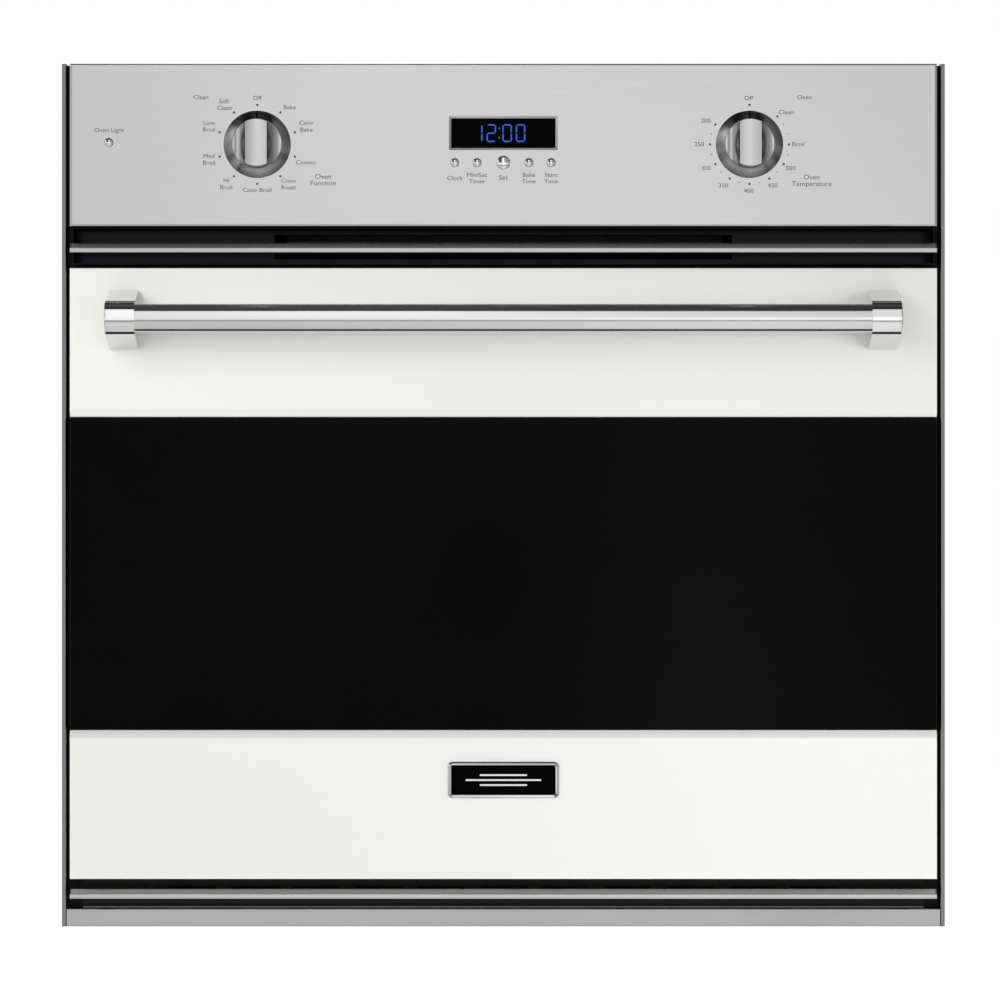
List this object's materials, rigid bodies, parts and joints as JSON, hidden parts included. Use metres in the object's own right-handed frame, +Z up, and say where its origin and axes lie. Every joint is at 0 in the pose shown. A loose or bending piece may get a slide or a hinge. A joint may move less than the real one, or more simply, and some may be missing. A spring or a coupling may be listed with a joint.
{
  "type": "wall oven",
  "caption": "Built-in single electric wall oven: brushed control panel with knobs and buttons, white and black-glass drop-down door, tubular handle, racks and fans.",
  "frame": {"origin": "bottom centre of the cabinet opening, in the plane of the cabinet's face", "axes": "+X to the user's right, -Y out of the cabinet towards the user, +Z up"},
  "size_m": [0.7494, 0.6928, 0.732],
  "materials": {
    "chassis_steel": "zinc-coated sheet, dull",
    "black_enamel": "gloss black vitreous enamel on steel",
    "cavity_enamel": "dark blue-grey speckled enamel",
    "stainless": "fine brushed",
    "black_paint": "satin black",
    "bar_metal": "bright satin",
    "panel_metal": "fine satin, almost matt",
    "display_glass": "smoked, glossy",
    "circuit_board": "lacquered board",
    "black_plastic": "moulded",
    "polished_chrome": "polished",
    "mineral_wool": "fibrous",
    "rack_wire": "plated wire",
    "element_sheath": "oxidised sheath",
    "motor_steel": "zinc and lacquer",
    "lamp_glass": "clear moulded glass",
    "woven_seal": "braided glass fibre",
    "hinge_steel": "zinc-plated",
    "screw_steel": "plated pan heads",
    "white_enamel": "gloss white, smooth",
    "black_glass": "opaque black ceramic-backed glass",
    "clear_glass": "clear heat-reflecting glass",
    "satin_handle": "bright satin tube",
    "badge_plate": "bright rim round a black field",
    "knob_metal": "turned and brushed",
    "fan_steel": "pressed sheet"
  },
  "bodies": {
    "chassis": {"base_pan": "chassis_steel", "left_side_panel": "chassis_steel", "right_side_panel": "chassis_steel", "top_cover": "chassis_steel", "rear_panel": "chassis_steel", "front_frame": "black_enamel", "left_side_trim": "stainless", "right_side_trim": "stainless", "lower_trim": "stainless", "vent_channel": "black_paint", "upper_vent_bar": "bar_metal", "lower_vent_bar": "bar_metal", "control_panel": "panel_metal", "display_window": "display_glass", "display_board": "circuit_board", "control_switches": "black_plastic", "knob_bezels": "polished_chrome", "oven_liner": "cavity_enamel", "insulation_blanket": "mineral_wool", "rack_guides": "rack_wire", "broil_element": "element_sheath", "bake_element": "element_sheath", "convection_element": "element_sheath", "convection_baffle": "cavity_enamel", "convection_motor": "motor_steel", "oven_lamps": "lamp_glass", "temperature_probe": "rack_wire", "door_gasket": "woven_seal", "hinge_arms": "hinge_steel", "blower_housing": "black_paint", "blower_motor": "motor_steel", "junction_box": "chassis_steel", "latch_motor": "motor_steel", "chassis_screws": "screw_steel"},
    "door": {"door_upper_panel": "white_enamel", "door_lower_panel": "white_enamel", "door_glass": "black_glass", "door_frame": "black_paint", "door_liner": "black_enamel", "inner_panes": "clear_glass", "door_insulation": "mineral_wool", "handle_tube": "satin_handle", "left_handle_cap": "polished_chrome", "right_handle_cap": "polished_chrome", "badge": "badge_plate", "hinge_channels": "hinge_steel", "door_screws": "screw_steel"},
    "function_knob": {"function_knob": "knob_metal"},
    "temperature_knob": {"temperature_knob": "knob_metal"},
    "clock_button": {"clock_button": "polished_chrome"},
    "timer_button": {"timer_button": "polished_chrome"},
    "set_button": {"set_button": "polished_chrome"},
    "bake_time_button": {"bake_time_button": "polished_chrome"},
    "start_time_button": {"start_time_button": "polished_chrome"},
    "light_button": {"light_button": "polished_chrome"},
    "lower_rack": {"lower_rack": "rack_wire"},
    "upper_rack": {"upper_rack": "rack_wire"},
    "convection_fan": {"convection_fan": "fan_steel"},
    "blower_wheel": {"blower_wheel": "fan_steel"},
    "latch_hook": {"latch_hook": "hinge_steel"}
  },
  "joints": [
    {"name": "door_hinge", "type": "hinge", "parent": "chassis", "child": "door", "pos_m": [0, -0.035, 0.028], "axis": [1, 0, 0], "range_deg": [0, 90], "stiffness_Nm_per_rad": 34, "springref_deg": -14.32},
    {"name": "function_turn", "type": "hinge", "parent": "chassis", "child": "function_knob", "pos_m": [-0.2077, -0.047, 0.642], "axis": [0, 1, 0], "range_deg": [0, 324]},
    {"name": "temperature_turn", "type": "hinge", "parent": "chassis", "child": "temperature_knob", "pos_m": [0.2077, -0.047, 0.642], "axis": [0, 1, 0], "range_deg": [0, 315]},
    {"name": "clock_press", "type": "slide", "parent": "chassis", "child": "clock_button", "axis": [0, 1, 0], "range_m": [0, 0.0015], "stiffness_N_per_m": 400, "springref_m": -0.0012},
    {"name": "timer_press", "type": "slide", "parent": "chassis", "child": "timer_button", "axis": [0, 1, 0], "range_m": [0, 0.0015], "stiffness_N_per_m": 400, "springref_m": -0.0012},
    {"name": "set_press", "type": "slide", "parent": "chassis", "child": "set_button", "axis": [0, 1, 0], "range_m": [0, 0.0015], "stiffness_N_per_m": 400, "springref_m": -0.0012},
    {"name": "bake_time_press", "type": "slide", "parent": "chassis", "child": "bake_time_button", "axis": [0, 1, 0], "range_m": [0, 0.0015], "stiffness_N_per_m": 400, "springref_m": -0.0012},
    {"name": "start_time_press", "type": "slide", "parent": "chassis", "child": "start_time_button", "axis": [0, 1, 0], "range_m": [0, 0.0015], "stiffness_N_per_m": 400, "springref_m": -0.0012},
    {"name": "light_press", "type": "slide", "parent": "chassis", "child": "light_button", "axis": [0, 1, 0], "range_m": [0, 0.0015], "stiffness_N_per_m": 400, "springref_m": -0.0012},
    {"name": "lower_rack_slide", "type": "slide", "parent": "chassis", "child": "lower_rack", "axis": [0, -1, 0], "range_m": [0, 0.26]},
    {"name": "upper_rack_slide", "type": "slide", "parent": "chassis", "child": "upper_rack", "axis": [0, -1, 0], "range_m": [0, 0.26]},
    {"name": "convection_fan_spin", "type": "hinge", "parent": "chassis", "child": "convection_fan", "pos_m": [0, 0.466, 0.28], "axis": [0, 1, 0], "continuous": true},
    {"name": "blower_spin", "type": "hinge", "parent": "chassis", "child": "blower_wheel", "pos_m": [0, 0.078, 0.592], "axis": [1, 0, 0], "continuous": true},
    {"name": "latch_turn", "type": "hinge", "parent": "chassis", "child": "latch_hook", "pos_m": [0, 0.05, 0.513], "axis": [0, 0, -1], "range_deg": [0, 90]}
  ],
  "couplings": [
    {"joint": "lower_rack_slide", "follows": "door_hinge", "m_per_rad": 0.159},
    {"joint": "upper_rack_slide", "follows": "door_hinge", "m_per_rad": 0.159}
  ]
}
